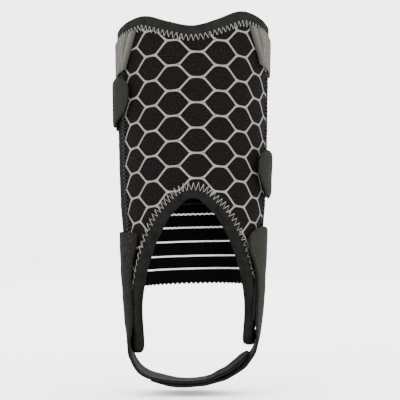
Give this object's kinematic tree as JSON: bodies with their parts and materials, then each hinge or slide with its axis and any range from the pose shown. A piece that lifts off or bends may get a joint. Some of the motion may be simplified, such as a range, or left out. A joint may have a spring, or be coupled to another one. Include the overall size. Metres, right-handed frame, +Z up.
{
  "type": "ankle brace",
  "caption": "Padded half-tube ankle brace with an arch over the instep, open back with elastic and straps, hook tabs at the sides and a stirrup strap under the foot.",
  "frame": {"origin": "on the axis of the leg, at the height of the ankle bone, where the brace sits when it is worn", "axes": "+Z up the leg, -Y to the toes and the arch, +X to the wearer's left as seen from the front on the right"},
  "size_m": [0.1064, 0.1024, 0.2466],
  "materials": {
    "knit_panel": "matte black knit with a raised light grey honeycomb print",
    "binding_tape": "dark grey-green folded tape with light zigzag thread",
    "striped_elastic": "black woven elastic with white lines across",
    "grey_webbing": "light grey ribbed webbing",
    "black_strap": "black brushed loop fabric",
    "hook_tab": "dark grey-green brushed tab",
    "loop_patch": "dark grey-green brushed loop pile",
    "heather_sling": "charcoal heather outside, warm grey lining inside",
    "green_grey_strap": "grey-green finely ribbed strap"
  },
  "bodies": {
    "root": {"front_panel": "knit_panel", "top_binding": "binding_tape", "arch_binding": "binding_tape", "left_side_binding": "binding_tape", "right_side_binding": "binding_tape", "back_elastic": "striped_elastic", "top_strap": "grey_webbing", "upper_strap": "black_strap", "upper_strap_tab": "hook_tab", "lower_strap": "black_strap", "lower_strap_tab": "hook_tab", "right_loop_patch": "loop_patch", "stirrup_sling": "heather_sling", "stirrup_tab_strap": "green_grey_strap"}
  },
  "joints": []
}
